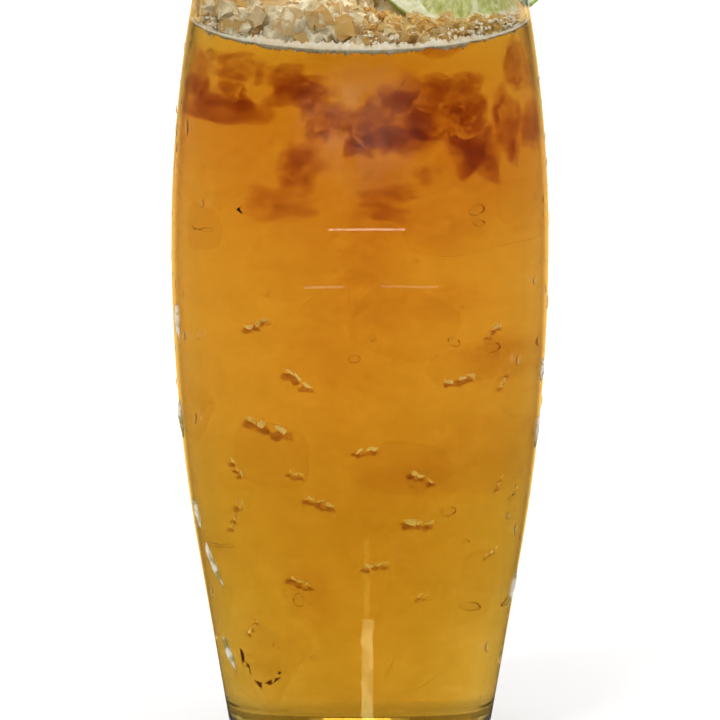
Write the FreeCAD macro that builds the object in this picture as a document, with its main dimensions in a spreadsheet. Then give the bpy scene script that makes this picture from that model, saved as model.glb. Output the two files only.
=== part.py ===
"""Tall barrel-shaped glass of iced tea with crushed ice and a lime slice on its rim.

Millimetres, +Z up. The origin is the middle of the glass's foot, on the surface it stands on,
and the lime slice sits on the rim at +X.
"""

import FreeCAD
import Part
import Sketcher

import math
import os

from FreeCAD import Vector

# Driving dimensions: alias, value in millimetres or a count, and what it is.
SIZES = [
    ("glass_height", 165.0, "foot to rim"),
    ("rim_radius", 30.7, "outside of the rim"),
    ("belly_radius", 37.6, "outside, at the widest"),
    ("belly_height", 102.0, "height of the widest place"),
    ("flank_height", 40.0, "height where the belly's curve runs into the straight foot"),
    ("foot_radius", 25.7, "outside, at the foot"),
    ("wall", 2.0, "thickness of the side"),
    ("floor_thickness", 5.5, "solid glass under the drink"),
    ("floor_round", 3.0, "rounding inside, between floor and side"),
    ("foot_round", 1.6, "rounding outside, at the foot"),
    ("rim_round", 0.9, "rounding of each edge of the rim"),
    ("freeboard", 16.0, "rim down to the drink"),
    ("fill_gap", 0.1, "drink to side of the glass"),
    ("ice_rise", 3.2, "low places of the ice above the drink"),
    ("lump_rise", 3.6, "how far the lumps stand above the low places"),
    ("lump_radius", 6.2, "largest half-width of a lump"),
    ("ice_gap", 0.3, "ice to side of the glass"),
    ("lime_radius", 22.0, "lime slice"),
    ("lime_thickness", 5.0, "lime slice"),
    ("lime_inset", 10.5, "middle of the slice in from the outside of the rim"),
    ("lime_lift", 3.2, "middle of the slice above the rim"),
    ("peel_round", 0.8, "rounding of the peel's edges"),
    ("slit_gap", 0.15, "each side of the glass in the slice's slit"),
    ("lime_bed_gap", 0.3, "slice to the drink and the ice around it"),
    ("lump_count", 64, "lumps in the top of the ice"),
]
TURN = 2 * math.pi
GOLDEN_ANGLE = math.pi * (3 - math.sqrt(5))

doc = FreeCAD.newDocument("GlassOfIcedTea")
sheet = doc.addObject("Spreadsheet::Sheet", "Sizes")
for row, (alias, value, meaning) in enumerate(SIZES, start=1):
    sheet.set(f"A{row}", alias)
    sheet.set(f"B{row}", str(value))
    sheet.set(f"C{row}", meaning)
    sheet.setAlias(f"B{row}", alias)
doc.recompute()

# Worked out from the driving dimensions, as expressions of the sheet's cells.
LEVEL = "(Sizes.glass_height - Sizes.freeboard)"
RIM_DROP = "(Sizes.belly_radius - Sizes.rim_radius)"
ABOVE_BELLY = "(Sizes.glass_height - Sizes.belly_height)"
UPPER_ARC = f"(({ABOVE_BELLY}^2 + {RIM_DROP}^2) / (2 * {RIM_DROP}))"
LIME_X = "(Sizes.rim_radius - Sizes.lime_inset)"
LIME_Z = "(Sizes.glass_height + Sizes.lime_lift)"


def size(alias):
    return float(sheet.get(alias))


def value_of(expression):
    """The number that an expression of the sheet's cells stands for."""
    found = sheet.evalExpression(expression)
    return float(getattr(found, "Value", found))


def new_body(label):
    body = doc.addObject("PartDesign::Body", label)
    body.Label = label
    return body


def new_sketch(body, name, role="XZ_Plane"):
    sketch = body.newObject("Sketcher::SketchObject", name)
    plane = next(o for o in body.Origin.OriginFeatures if o.Role == role)
    sketch.AttachmentSupport = [(plane, "")]
    sketch.MapMode = "FlatFace"
    return sketch


def arc_between(centre, low, high):
    """The arc from low to high, two points right of its centre, turning anticlockwise."""
    start = math.atan2(low.y - centre.y, low.x - centre.x)
    stop = math.atan2(high.y - centre.y, high.x - centre.x)
    circle = Part.Circle(centre, Vector(0, 0, 1), centre.distanceToPoint(low))
    return Part.ArcOfCircle(circle, start, stop)


def bound(sketch, name, expression, kind, *where):
    """Adds a constraint whose value stays tied to an expression."""
    index = sketch.addConstraint(Sketcher.Constraint(kind, *where, value_of(expression)))
    sketch.renameConstraint(index, name)
    sketch.setExpression(f"Constraints.{name}", expression)


def barrel_outline(sketch, inset, low, high):
    """Half of the barrel's outline between two heights, moved in from the outside of the glass.

    A straight flank runs into the belly's arc, and that arc into the one up to the rim. A guide
    line carries the flank's slope on down to the foot, so that every inset has the same slope.
    """
    belly = Vector(size("belly_radius") - value_of(inset), size("belly_height"), 0)
    foot = Vector(size("foot_radius") - value_of(inset), 0, 0)
    slope = 2 * math.atan((belly.x - foot.x) / (belly.y + size("flank_height")))
    joint = foot + Vector(math.tan(slope), 1, 0) * size("flank_height")
    belly_arc = (belly.y - joint.y) / math.sin(slope)
    low_end = Vector(foot.x + math.tan(slope) * value_of(low), value_of(low), 0)
    upper_centre = Vector(belly.x - value_of(UPPER_ARC), belly.y, 0)
    above = value_of(high) - belly.y
    reach = math.sqrt(value_of(UPPER_ARC) ** 2 - above**2)
    high_end = Vector(upper_centre.x + reach, value_of(high), 0)
    axis_low, axis_high = Vector(0, low_end.y, 0), Vector(0, high_end.y, 0)
    sketch.addGeometry(Part.LineSegment(axis_low, low_end))
    sketch.addGeometry(Part.LineSegment(low_end, joint))
    sketch.addGeometry(arc_between(Vector(belly.x - belly_arc, belly.y, 0), joint, belly))
    sketch.addGeometry(arc_between(upper_centre, belly, high_end))
    sketch.addGeometry(Part.LineSegment(high_end, axis_high))
    sketch.addGeometry(Part.LineSegment(axis_high, axis_low))
    bottom, flank, belly_curve, upper_curve, top, axis = range(6)
    guide = sketch.addGeometry(Part.LineSegment(foot, joint), True)
    start, end, centre = 1, 2, 3
    for edge, following in (
        (bottom, flank),
        (flank, belly_curve),
        (belly_curve, upper_curve),
        (upper_curve, top),
        (top, axis),
        (axis, bottom),
    ):
        sketch.addConstraint(Sketcher.Constraint("Coincident", edge, end, following, start))
    sketch.addConstraint(Sketcher.Constraint("Horizontal", bottom))
    sketch.addConstraint(Sketcher.Constraint("Horizontal", top))
    sketch.addConstraint(Sketcher.Constraint("PointOnObject", axis, start, -2))
    sketch.addConstraint(Sketcher.Constraint("PointOnObject", axis, end, -2))
    sketch.addConstraint(Sketcher.Constraint("Tangent", guide, end, belly_curve, start))
    sketch.addConstraint(Sketcher.Constraint("PointOnObject", flank, start, guide))
    belly_reach = f"Sizes.belly_radius - {inset}"
    bound(sketch, "guide_foot", f"Sizes.foot_radius - {inset}", "DistanceX", -1, 1, guide, start)
    sketch.addConstraint(Sketcher.Constraint("PointOnObject", guide, start, -1))
    bound(sketch, "flank_top", "Sizes.flank_height", "DistanceY", -1, 1, guide, end)
    bound(sketch, "low", low, "DistanceY", -1, 1, bottom, end)
    bound(sketch, "high", high, "DistanceY", -1, 1, top, start)
    bound(sketch, "belly", belly_reach, "DistanceX", -1, 1, belly_curve, end)
    bound(sketch, "belly_height", "Sizes.belly_height", "DistanceY", -1, 1, belly_curve, end)
    bound(sketch, "belly_centre", "Sizes.belly_height", "DistanceY", -1, 1, belly_curve, centre)
    bound(sketch, "upper_centre", "Sizes.belly_height", "DistanceY", -1, 1, upper_curve, centre)
    bound(sketch, "upper_arc", UPPER_ARC, "Radius", upper_curve)


def turned(body, sketch, kind, name):
    """A full turn of a sketch about the glass's axis, added to or taken from the body."""
    feature = body.newObject(f"PartDesign::{kind}", name)
    feature.Profile = sketch
    feature.ReferenceAxis = (sketch, ["V_Axis"])
    feature.Angle = 360
    body.Tip = feature
    doc.recompute()
    return feature


def rounded(body, name, radius, chosen):
    """A fillet on the edges of the body's last feature whose middle passes the test."""
    base = body.Tip
    edges = [
        f"Edge{index}"
        for index, edge in enumerate(base.Shape.Edges, start=1)
        if isinstance(edge.Curve, Part.Circle) and chosen(edge.Curve)
    ]
    fillet = body.newObject("PartDesign::Fillet", name)
    fillet.Base = (base, edges)
    fillet.setExpression("Radius", radius)
    body.Tip = fillet
    doc.recompute()
    return fillet


def level_ring(height):
    """A test for a circle about the glass's axis at a height."""

    def is_there(circle):
        return abs(circle.Center.z - height) < 1e-4 and abs(circle.Axis.z) > 0.999

    return is_there


def make_glass():
    body = new_body("glass")
    outside = new_sketch(body, "GlassOutside")
    barrel_outline(outside, "0", "0", "Sizes.glass_height")
    turned(body, outside, "Revolution", "GlassBarrel")
    inside = new_sketch(body, "GlassInside")
    barrel_outline(inside, "Sizes.wall", "Sizes.floor_thickness", "Sizes.glass_height")
    turned(body, inside, "Groove", "GlassHollow")
    rounded(body, "FloorRound", "Sizes.floor_round", level_ring(size("floor_thickness")))
    rounded(body, "RimRound", "Sizes.rim_round", level_ring(size("glass_height")))
    rounded(body, "FootRound", "Sizes.foot_round", level_ring(0))
    return body


def lime_bed(body, name):
    """Clears the drink around the part of the lime slice that dips into it."""
    sketch = new_sketch(body, f"{name}Outline")
    centre = Vector(value_of(LIME_X), value_of(LIME_Z), 0)
    radius = "(Sizes.lime_radius + Sizes.lime_bed_gap)"
    sketch.addGeometry(Part.Circle(centre, Vector(0, 0, 1), value_of(radius)))
    bound(sketch, "across", LIME_X, "DistanceX", -1, 1, 0, 3)
    bound(sketch, "up", LIME_Z, "DistanceY", -1, 1, 0, 3)
    bound(sketch, "radius", radius, "Radius", 0)
    bed = body.newObject("PartDesign::Pocket", name)
    bed.Profile = sketch
    bed.SideType = "Symmetric"
    bed.setExpression("Length", "Sizes.lime_thickness + 2 * Sizes.lime_bed_gap")
    body.Tip = bed
    doc.recompute()
    return bed


def make_iced_tea():
    body = new_body("iced_tea")
    outline = new_sketch(body, "TeaOutline")
    barrel_outline(outline, "(Sizes.wall + Sizes.fill_gap)", "Sizes.floor_thickness", LEVEL)
    turned(body, outline, "Revolution", "TeaBarrel")
    corner = "Sizes.floor_round + Sizes.fill_gap"
    rounded(body, "TeaRound", corner, level_ring(size("floor_thickness")))
    lime_bed(body, "TeaLimeBed")
    return body


def make_lime_slice():
    body = new_body("lime_slice")
    outline = new_sketch(body, "LimeOutline")
    centre = Vector(value_of(LIME_X), value_of(LIME_Z), 0)
    outline.addGeometry(Part.Circle(centre, Vector(0, 0, 1), size("lime_radius")))
    bound(outline, "across", LIME_X, "DistanceX", -1, 1, 0, 3)
    bound(outline, "up", LIME_Z, "DistanceY", -1, 1, 0, 3)
    bound(outline, "radius", "Sizes.lime_radius", "Radius", 0)
    slice_pad = body.newObject("PartDesign::Pad", "LimeSlice")
    slice_pad.Profile = outline
    slice_pad.SideType = "Symmetric"
    slice_pad.setExpression("Length", "Sizes.lime_thickness")
    body.Tip = slice_pad
    doc.recompute()
    rounded(body, "PeelRound", "Sizes.peel_round", lambda circle: abs(circle.Axis.y) > 0.999)
    slit = new_sketch(body, "SlitOutline")
    slit_outline(slit)
    turned(body, slit, "Groove", "Slit")
    return body


def slit_outline(sketch):
    """The wall's cross-section, a slit gap larger all round, from under the slice to the rim."""
    low = f"({LIME_Z} - Sizes.lime_radius - Sizes.lime_bed_gap)"
    high = "(Sizes.glass_height + Sizes.slit_gap)"
    insets = ("(0 - Sizes.slit_gap)", "(Sizes.wall + Sizes.slit_gap)")
    arc, belly_height = value_of(UPPER_ARC), size("belly_height")
    centres = [Vector(size("belly_radius") - arc - value_of(i), belly_height, 0) for i in insets]

    def at(middle, height):
        across = math.sqrt(arc**2 - (height - belly_height) ** 2)
        return Vector(middle.x + across, height, 0)

    outer_low, inner_low = (at(middle, value_of(low)) for middle in centres)
    outer_high, inner_high = (at(middle, value_of(high)) for middle in centres)
    sketch.addGeometry(arc_between(centres[0], outer_low, outer_high))
    sketch.addGeometry(Part.LineSegment(outer_high, inner_high))
    sketch.addGeometry(arc_between(centres[1], inner_low, inner_high))
    sketch.addGeometry(Part.LineSegment(inner_low, outer_low))
    outer, top, inner, bottom = range(4)
    start, end, centre = 1, 2, 3
    for one, its_point, other, other_point in (
        (outer, end, top, start),
        (top, end, inner, end),
        (inner, start, bottom, start),
        (bottom, end, outer, start),
    ):
        sketch.addConstraint(Sketcher.Constraint("Coincident", one, its_point, other, other_point))
    sketch.addConstraint(Sketcher.Constraint("Horizontal", top))
    sketch.addConstraint(Sketcher.Constraint("Horizontal", bottom))
    bound(sketch, "low", low, "DistanceY", -1, 1, outer, start)
    bound(sketch, "high", high, "DistanceY", -1, 1, outer, end)
    for name, curve, inset in (("outer", outer, insets[0]), ("inner", inner, insets[1])):
        behind = f"{UPPER_ARC} - Sizes.belly_radius + {inset}"
        bound(sketch, f"{name}_arc", UPPER_ARC, "Radius", curve)
        bound(sketch, f"{name}_across", behind, "DistanceX", curve, centre, -1, 1)
        bound(sketch, f"{name}_height", "Sizes.belly_height", "DistanceY", -1, 1, curve, centre)


def inside_radius(height):
    """Half the width inside the glass, above its belly."""
    arc = value_of(UPPER_ARC)
    above = height - size("belly_height")
    return size("belly_radius") - arc - size("wall") + math.sqrt(arc**2 - above**2)


def ice_lumps(reach):
    """Middle, half-width and rise of each lump, spread evenly over a round top of that reach."""
    count = int(size("lump_count"))
    lumps = []
    for index in range(count):
        out = reach * math.sqrt((index + 0.5) / count)
        turn = index * GOLDEN_ANGLE
        width = size("lump_radius") * (0.72 + 0.28 * math.sin(2.3 * index))
        rise = size("lump_rise") * (0.6 + 0.4 * math.cos(3.7 * index + 1))
        lumps.append((out * math.cos(turn), out * math.sin(turn), width, rise))
    return lumps


def make_crushed_ice():
    """The heap of crushed ice from the drink up to its uneven top, clear of the lime slice."""
    level = value_of(LEVEL)
    low = level + size("ice_rise")
    top_reach = inside_radius(low + size("lump_rise")) - size("ice_gap")
    level_reach = inside_radius(level) - size("ice_gap")
    lumps = ice_lumps(top_reach)
    rings, sectors = 13, 60

    def top_point(ring, sector):
        out = top_reach * ring / rings
        turn = TURN * sector / sectors
        x, y = out * math.cos(turn), out * math.sin(turn)
        rise = 0
        for lump_x, lump_y, width, lump_rise in lumps:
            away = math.hypot(x - lump_x, y - lump_y) / width
            rise = max(rise, lump_rise * (1 - away**2))
        return Vector(x, y, low + rise)

    def level_point(sector):
        turn = TURN * sector / sectors
        return Vector(level_reach * math.cos(turn), level_reach * math.sin(turn), level)

    summit, middle = top_point(0, 0), Vector(0, 0, level)
    grid = [[top_point(ring, sector) for sector in range(sectors)] for ring in range(1, rings + 1)]
    edge = [level_point(sector) for sector in range(sectors)]
    corners = []
    for sector in range(sectors):
        after = (sector + 1) % sectors
        corners.append((summit, grid[0][sector], grid[0][after]))
        for inner, outer in zip(grid, grid[1:]):
            corners.append((inner[sector], outer[sector], outer[after]))
            corners.append((inner[sector], outer[after], inner[after]))
        corners.append((grid[-1][sector], edge[sector], edge[after]))
        corners.append((grid[-1][sector], edge[after], grid[-1][after]))
        corners.append((edge[sector], middle, edge[after]))
    faces = [Part.Face(Part.makePolygon([*points, points[0]])) for points in corners]
    heap = Part.makeSolid(Part.makeShell(faces))
    bed_depth = size("lime_thickness") + 2 * size("lime_bed_gap")
    bed = Part.makeCylinder(
        size("lime_radius") + size("lime_bed_gap"),
        bed_depth,
        Vector(value_of(LIME_X), -bed_depth / 2, value_of(LIME_Z)),
        Vector(0, 1, 0),
    )
    feature = doc.addObject("Part::Feature", "crushed_ice")
    feature.Label = "crushed_ice"
    feature.Shape = heap.cut(bed)
    feature.Placement = FreeCAD.Placement()
    return feature


def write_parts(pieces):
    """Checks every object of the document, then writes one file for each piece."""
    doc.recompute()
    for item in doc.Objects:
        if {"Invalid", "Error"} & set(item.State):
            raise RuntimeError(f"{item.Label} failed: {item.State}")
    for piece in pieces:
        shape = piece.Shape
        if shape.isNull() or not shape.isValid() or len(shape.Solids) != 1:
            raise RuntimeError(f"{piece.Label} isn't one valid solid")
        print(f"{piece.Label}: {shape.Volume / 1000:.2f} cm3")
    os.makedirs("parts", exist_ok=True)
    for piece in pieces:
        piece.Shape.exportStep(f"parts/{piece.Label}.step")


write_parts([make_glass(), make_iced_tea(), make_crushed_ice(), make_lime_slice()])
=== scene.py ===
"""Looks of a tall glass of iced tea, with crushed ice and a lime slice, round its CAD model."""

import math

import bmesh
import bpy
import numpy as np
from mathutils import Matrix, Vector
from mathutils.noise import noise as noise_at


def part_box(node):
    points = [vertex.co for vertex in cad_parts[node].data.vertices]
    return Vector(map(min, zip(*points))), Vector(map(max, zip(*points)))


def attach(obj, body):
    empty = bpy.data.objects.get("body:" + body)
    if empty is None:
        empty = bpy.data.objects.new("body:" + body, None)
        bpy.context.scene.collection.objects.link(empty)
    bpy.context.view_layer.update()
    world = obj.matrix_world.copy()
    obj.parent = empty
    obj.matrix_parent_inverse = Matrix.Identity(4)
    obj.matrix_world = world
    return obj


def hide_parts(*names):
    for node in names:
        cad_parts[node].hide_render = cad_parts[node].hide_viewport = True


bl_info = {
    "name": "Glass of Iced Tea",
    "version": (1, 0, 0),
    "blender": (4, 5, 0),
    "location": "3D View > Sidebar > Iced Tea",
    "description": "Glass, tea, crushed ice, lime slice and cold water drops",
    "category": "Add Mesh",
}

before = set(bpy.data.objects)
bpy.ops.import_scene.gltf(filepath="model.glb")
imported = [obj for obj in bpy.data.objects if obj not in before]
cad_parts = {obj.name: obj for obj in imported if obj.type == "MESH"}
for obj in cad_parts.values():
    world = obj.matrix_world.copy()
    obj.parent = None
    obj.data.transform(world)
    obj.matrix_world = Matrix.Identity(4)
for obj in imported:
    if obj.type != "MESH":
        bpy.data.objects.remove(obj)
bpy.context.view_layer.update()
GLASS_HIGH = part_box("glass")[1]
TEA_LOW, TEA_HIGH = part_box("iced_tea")
HEAP_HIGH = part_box("crushed_ice")[1]
LIME_LOW, LIME_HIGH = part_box("lime_slice")
LEVEL = TEA_HIGH.z
TURN = 2 * math.pi

# Refractive indices. The sunk ice's is nearly 1, because only its faint edges show in the tea.
GLASS_INDEX, TEA_INDEX, ICE_INDEX, SUNK_INDEX = 1.5, 1.33, 1.31, 1.001

# Where the eye is when the glints, the painted highlights with their painted shadows, and the
# swirls are placed: in front and above.
EYE_HEIGHT, EYE_AWAY = 0.468, 1.568

# Starts of the random draws.
CHIP_SEED, SWIRL_SEED, BACK_SWIRL_SEED, STREAK_SEED = 11, 8, 5, 23
FOAM_SEED, DROP_SEED, TOP_ICE_STEP = 3, 5, 10

# Shares of a turn that spread a row of points evenly in three directions.
EVEN_STEPS = (0.8191725134, 0.6710436067, 0.5497004779)

# The heap dips from here to there rightwards and forwards, and loses this share of its rise.
DIP_RIGHT, DIP_FRONT, DIP = (-0.006, 0.004), (0.004, -0.001), 0.95

# Light that has gone through fewer surfaces than these is still at the glass's near wall.
OUTER_SURFACES, WALL_SURFACES = 0.5, 4.5

# Rounds of refraction that a look through the ice and the swirls needs.
BOUNCES = 44

# Swirls at the back, weak streaks, and how far from the axis the streaks reach.
BACK_SWIRLS, STREAKS, STREAK_REACH = 6, 24, 0.031

# Half the width, the thickness and the forward step of the runs of water.
RUN_WIDE, RUN_THICK, RUN_FORWARD = 0.0010, 0.0006, 0.012

# The floor lies this far under the foot, and the camera points this far under the drink's level.
FLOOR_DROP, AIM_DROP = 0.0004, 0.0701


def wall_outline(node, side):
    """Radius against height of a round CAD node, as a smooth curve, read away from the lime."""
    rings = {}
    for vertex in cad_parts[node].data.vertices:
        x, y, z = vertex.co
        if x < -0.015 and abs(y) < 0.5 * -x:
            key = round(z, 6)
            rings[key] = side(rings.get(key, math.hypot(x, y)), math.hypot(x, y))
    heights = np.array(sorted(rings))
    radii = np.array([rings[height] for height in heights])
    return heights, radii


def fitted(heights, radii, low, high):
    """The outer wall as one curve: rings that fall inside it, such as a hollow's, are dropped."""
    keep = (heights >= low) & (heights <= high)
    for degree in (2, 3, 4, 6, 8):
        curve = np.polynomial.Polynomial.fit(heights[keep], radii[keep], degree)
        keep &= radii > curve(heights) - 0.0008 / degree
    return np.polynomial.Polynomial.fit(heights[keep], radii[keep], 8)


# The drink's lower edge is rounded, and a haze hangs in its front.
FLOOR_ROUND = 0.0031
HAZE = (0.0, -0.034, 0.134)

TEA_WALL = fitted(*wall_outline("iced_tea", max), TEA_LOW.z + FLOOR_ROUND, LEVEL)
GLASS_WALL = fitted(*wall_outline("glass", max), 0.002, GLASS_HIGH.z - 0.0012)
WALL = GLASS_WALL(0.1) - TEA_WALL(0.1)
LIME_MIDDLE = (LIME_LOW + LIME_HIGH) / 2
LIME_RADIUS = (LIME_HIGH.z - LIME_LOW.z) / 2
LIME_HALF = (LIME_HIGH.y - LIME_LOW.y) / 2


def seen_at(across, height, depth):
    """The place so deep in the drink that shows from the front in line with a spot on the axis."""
    slope = (EYE_HEIGHT - height) / EYE_AWAY
    front = height + slope * GLASS_HIGH.x
    radius = float(GLASS_WALL(front))
    across = max(-0.97 * radius, min(0.97 * radius, across))
    outside, within = math.asin(across / radius), math.asin(across / radius / TEA_INDEX)
    turn = outside - within
    start = math.sqrt(radius**2 - across**2)
    return Vector(
        (
            across - depth * math.sin(turn),
            -start + depth * math.cos(turn),
            height + slope * start - slope / TEA_INDEX * depth,
        )
    )


def length(name, description, default, **limits):
    """A length that a user can set."""
    return bpy.props.FloatProperty(
        name=name, description=description, default=default, unit="LENGTH", precision=5, **limits
    )


def colour(name, description, default):
    """A colour that a user can set."""
    return bpy.props.FloatVectorProperty(
        name=name, description=description, default=default, subtype="COLOR", min=0, max=1
    )


def count(name, description, default):
    """A whole number that a user can set."""
    return bpy.props.IntProperty(name=name, description=description, default=default, min=1)


class GlassSettings(bpy.types.PropertyGroup):
    """The clear glass."""

    tint: colour("Tint", "Colour of the clear glass", (0.985, 0.995, 0.99))


class TeaSettings(bpy.types.PropertyGroup):
    """The drink."""

    thin: colour("Thin tea", "What a thin layer of the tea lets through", (0.896, 0.708, 0.03))
    strength: bpy.props.FloatProperty(
        name="Strength", description="How much the tea takes from the light, a metre", default=71
    )
    reach: length("Reach", "How far the drink reaches into the glass", 0.0004)
    rise: length("Rise", "How far the surface climbs the glass at its edge", 0.0005)
    climb: length("Climb", "Width of the edge over which the surface climbs", 0.0012)


class IceSettings(bpy.types.PropertyGroup):
    """The ice, sunk and on top."""

    sunk_count: count("Sunk pieces", "Pieces of ice inside the drink", 28)
    sunk_size: length("Sunk size", "Middle size of the pieces inside the drink", 0.013)
    top_count: count("Top pieces", "Pieces of ice at the surface", 1050)
    top_size: length("Top size", "Middle size of the pieces at the surface", 0.0038)
    core_rise: length("Core rise", "Height of the packed ice under the loose pieces", 0.0026)
    seed: count("Seed", "Start of the random draws", 7)


class FoamSettings(bpy.types.PropertyGroup):
    """Small bubbles and cold drops."""

    bubble_count: count("Bubbles", "Bubbles at the edge of the drink", 1700)
    bubble_size: length("Bubble size", "Middle size of a bubble", 0.0007)
    drop_count: count("Drops", "Cold drops on the outside of the glass", 260)
    drop_size: length("Drop size", "Middle size of a drop", 0.0016)


class LimeSettings(bpy.types.PropertyGroup):
    """The lime slice."""

    segments: count("Segments", "Segments in the slice", 10)
    peel: length("Peel", "Thickness of the green peel", 0.0011)
    pith: length("Pith", "Thickness of the pale pith", 0.0012)
    relief: length("Relief", "How far the flesh lies under its skins", 0.00035)


class StageSettings(bpy.types.PropertyGroup):
    """Camera, light and floor."""

    distance: length("Distance", "Camera to the top of the drink", 1.6)
    lens: bpy.props.FloatProperty(
        name="Lens", description="Focal length", default=404, unit="CAMERA"
    )
    mirrored: bpy.props.FloatProperty(
        name="Mirrored", description="Brightness of the room in the wall's mirror", default=0.025
    )
    elevation: bpy.props.FloatProperty(
        name="Elevation",
        description="How far the camera looks down on the drink's surface",
        default=math.radians(11.5),
        subtype="ANGLE",
    )


SETTINGS = {
    "tea_glass": GlassSettings,
    "tea_drink": TeaSettings,
    "tea_ice": IceSettings,
    "tea_foam": FoamSettings,
    "tea_lime": LimeSettings,
    "tea_stage": StageSettings,
}


def add(tree, kind, inputs=None, **settings):
    """A node with its settings, and with its inputs set or linked by name or place."""
    made = tree.nodes.new(kind)
    for name, value in settings.items():
        setattr(made, name, value)
    for name, value in (inputs or {}).items():
        if isinstance(value, bpy.types.NodeSocket):
            tree.links.new(value, made.inputs[name])
        else:
            made.inputs[name].default_value = value
    return made


def maths(tree, operation, *values):
    """A sum of one to three values."""
    return add(tree, "ShaderNodeMath", dict(enumerate(values)), operation=operation).outputs[0]


def times(tree, one, other):
    """Two values multiplied."""
    return maths(tree, "MULTIPLY", one, other)


def sloped(tree, value, slope, start):
    """A value multiplied by a slope, and added to a start."""
    return maths(tree, "MULTIPLY_ADD", value, slope, start)


def split(tree, vector):
    """The three parts of a vector."""
    return add(tree, "ShaderNodeSeparateXYZ", {0: vector}).outputs


def joined(tree, *parts):
    """A vector of up to three parts."""
    return add(tree, "ShaderNodeCombineXYZ", dict(enumerate(parts))).outputs[0]


def reach_of(tree, vector):
    """The length of a vector."""
    return add(tree, "ShaderNodeVectorMath", {0: vector}, operation="LENGTH").outputs[1]


def between(tree, operation, one, other):
    """What a sum of two vectors gives: a vector, then a number."""
    return add(tree, "ShaderNodeVectorMath", {0: one, 1: other}, operation=operation).outputs


def scaled(tree, vector, amount):
    """A vector made longer or shorter."""
    inputs = {0: vector, "Scale": amount}
    return add(tree, "ShaderNodeVectorMath", inputs, operation="SCALE").outputs[0]


def blend(tree, factor, one, other):
    """Two colours mixed by a factor."""
    made = add(tree, "ShaderNodeMix", {0: factor}, data_type="RGBA")
    for place, value in ((6, one), (7, other)):
        if isinstance(value, bpy.types.NodeSocket):
            tree.links.new(value, made.inputs[place])
        else:
            made.inputs[place].default_value = (*value, 1)
    return made.outputs[2]


def ranged(tree, value, low, high, to_low=0.0, to_high=1.0, kind="SMOOTHSTEP"):
    """A value moved from one range to another, and kept inside it."""
    made = add(tree, "ShaderNodeMapRange", {0: value, 1: low, 2: high, 3: to_low, 4: to_high})
    made.interpolation_type = kind
    return made.outputs[0]


def noise(tree, place, scale, detail=3.0, roughness=0.5, distortion=0.0):
    """Cloudy noise from 0 to 1."""
    inputs = {
        "Vector": place,
        "Scale": scale,
        "Detail": detail,
        "Roughness": roughness,
        "Distortion": distortion,
    }
    return add(tree, "ShaderNodeTexNoise", inputs).outputs["Fac"]


def new_material(name):
    """A material with its tree, its main shader and the object's own coordinates."""
    material = bpy.data.materials.new(name)
    material.use_nodes = True
    tree = material.node_tree
    shader = tree.nodes["Principled BSDF"]
    place = add(tree, "ShaderNodeTexCoord").outputs["Object"]
    return material, tree, shader, place


def plain(shader, **values):
    """Sets a shader's sockets, named with underscores for spaces."""
    for name, value in values.items():
        socket = shader.inputs[name.replace("_", " ").title().replace("Ior", "IOR")]
        socket.default_value = (*value, 1) if isinstance(value, tuple) else value


def link(tree, source, shader, name):
    """Links a value or a colour to one of a shader's sockets."""
    tree.links.new(source, shader.inputs[name])


def bumped(tree, shader, height, distance, strength):
    """Gives a surface its fine grain."""
    inputs = {"Height": height, "Distance": distance, "Strength": strength}
    link(tree, add(tree, "ShaderNodeBump", inputs).outputs[0], shader, "Normal")


def absorbing(tree, kept, strength):
    """Fills a material with a colour that deepens with thickness."""
    inputs = {"Color": (*kept, 1), "Density": strength}
    volume = add(tree, "ShaderNodeVolumeAbsorption", inputs)
    link(tree, volume.outputs[0], tree.nodes["Material Output"], "Volume")


def clear_glass(settings):
    """Clear glass, a little uneven."""
    material, tree, shader, place = new_material("clear_glass")
    plain(shader, transmission_weight=1.0, ior=GLASS_INDEX, roughness=0.0)
    uneven = ranged(tree, noise(tree, place, 45.0, 2.0), 0.35, 0.65)
    link(tree, blend(tree, uneven, tuple(settings.tint), (1.0, 1.0, 1.0)), shader, "Base Color")
    return material


def tea(settings):
    """Amber tea: tinted deeper near the top and in patches, darker and yellower towards the foot,
    with other tints at the sides and just under the ice, and a haze in front.
    """
    material, tree, shader, place = new_material("tea")
    plain(shader, ior=TEA_INDEX, roughness=0.02)
    absorbing(tree, settings.thin, settings.strength)
    parts = split(tree, place)
    sideways, height = maths(tree, "ABSOLUTE", parts[0]), parts[2]
    patches = noise(tree, place, 70.0, 3.0, 0.55, 0.5)
    upper = ranged(tree, height, 0.098, 0.122)
    lower = times(tree, ranged(tree, height, 0.085, 0.045), ranged(tree, height, 0.0, 0.012))
    mottle = noise(tree, place, 110.0, 4.0, 0.6, 0.6)
    amber = blend(tree, ranged(tree, mottle, 0.3, 0.7), (0.89, 0.84, 0.7), (1.0, 1.0, 1.0))
    aside = times(tree, ranged(tree, sideways, 0.01, 0.031), ranged(tree, height, 0.02, 0.05))
    amber = blend(tree, aside, amber, (0.86, 0.74, 0.6))
    deep = times(tree, ranged(tree, patches, 0.35, 0.65, 0.45, 1.0), upper)
    amber = blend(tree, deep, amber, (0.78, 0.54, 0.32))
    corner = times(tree, ranged(tree, sideways, 0.013, 0.023), ranged(tree, height, 0.04, 0.015))
    lower = times(tree, lower, sloped(tree, corner, -0.6, 1.0))
    below = times(tree, lower, ranged(tree, mottle, 0.3, 0.65, 1.0, 0.75))
    under = ranged(tree, height, 0.13, 0.146, 0.0, 0.8)
    amber = blend(tree, under, amber, (0.8, 0.86, 0.75))
    link(tree, blend(tree, below, amber, (0.7, 0.67, 0.3)), shader, "Base Color")
    away = between(tree, "DISTANCE", place, HAZE)[1]
    haze = times(tree, ranged(tree, away, 0.016, 0.004), ranged(tree, mottle, 0.2, 0.8))
    link(tree, sloped(tree, haze, -0.14, 1.0), shader, "Transmission Weight")
    return material


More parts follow.
